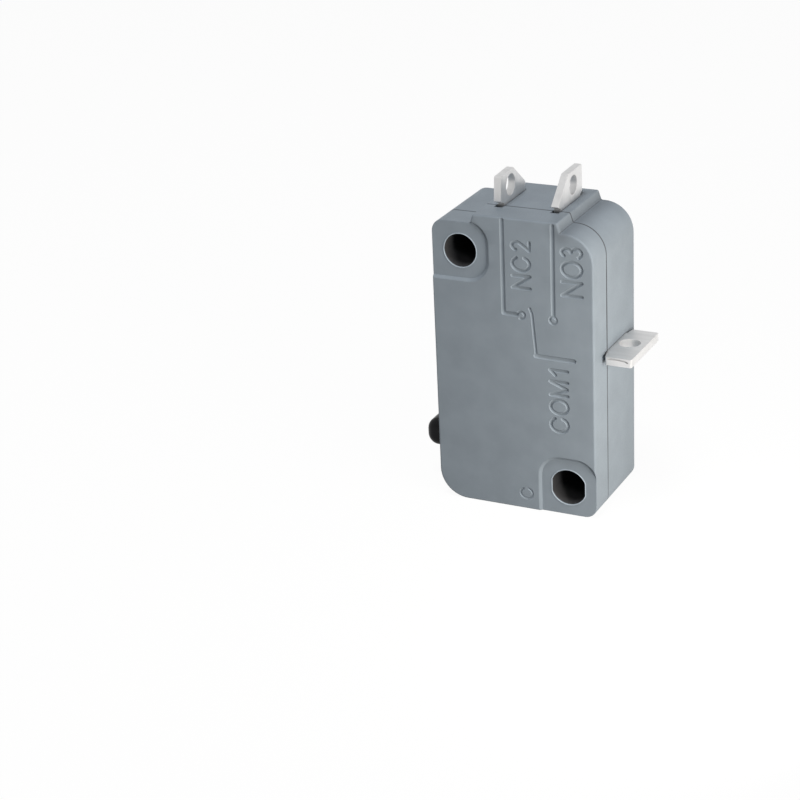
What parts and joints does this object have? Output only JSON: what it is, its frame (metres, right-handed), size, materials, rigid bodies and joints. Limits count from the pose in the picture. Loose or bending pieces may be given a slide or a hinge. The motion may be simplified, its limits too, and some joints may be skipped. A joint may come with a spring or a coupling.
{
  "type": "micro switch",
  "caption": "Snap-action micro switch with a pin plunger, a two-half moulded housing and solder blades for common, normally closed and normally open circuits.",
  "frame": {"origin": "middle of the flat end face away from the NC and NO blades, halfway across the housing and through its thickness", "axes": "+Z along the housing towards the NC and NO blades, -X the way the plunger points, -Y out of the cover face with the wiring symbol"},
  "size_m": [0.0219, 0.0104, 0.0316],
  "materials": {
    "housing_plastic": "moulded, fine matte texture",
    "plunger_plastic": "black, lightly polished",
    "tinned_blade": "satin tin plate on stamped brass",
    "contact_silver": "plain silver",
    "arm_copper": "rolled copper alloy",
    "lever_steel": "stamped steel",
    "spring_steel": "drawn wire"
  },
  "bodies": {
    "housing": {"case": "housing_plastic", "cover": "housing_plastic", "common_terminal": "tinned_blade", "nc_terminal": "tinned_blade", "no_terminal": "tinned_blade", "nc_contact": "contact_silver", "no_contact": "contact_silver"},
    "plunger": {"plunger": "plunger_plastic"},
    "lever": {"actuating_lever": "lever_steel"},
    "arm": {"contact_arm": "arm_copper", "moving_contact": "contact_silver"},
    "spring": {"tension_spring": "spring_steel"}
  },
  "joints": [
    {"name": "plunger_slide", "type": "slide", "parent": "housing", "child": "plunger", "axis": [1, 0, 0], "range_m": [0, 0.002], "stiffness_N_per_m": 800, "springref_m": -0.001},
    {"name": "lever_pivot", "type": "hinge", "parent": "housing", "child": "lever", "pos_m": [-0.0006, 0.0005, 0.01077], "axis": [0, -1, 0], "range_deg": [0, 18.9]},
    {"name": "arm_pivot", "type": "hinge", "parent": "housing", "child": "arm", "pos_m": [-0.0002, 0.0005, 0.01123], "axis": [0, 1, 0], "range_deg": [0, 5.8]},
    {"name": "spring_hook", "type": "hinge", "parent": "arm", "child": "spring", "pos_m": [-0.0002, 0.0005, 0.01908], "axis": [0, -1, 0], "range_deg": [0, 7.8]}
  ],
  "couplings": [
    {"joint": "lever_pivot", "follows": "plunger_slide", "rad_per_m": 164.2},
    {"joint": "arm_pivot", "follows": "plunger_slide", "rad_per_m": 50.4},
    {"joint": "spring_hook", "follows": "plunger_slide", "rad_per_m": 67.9}
  ]
}
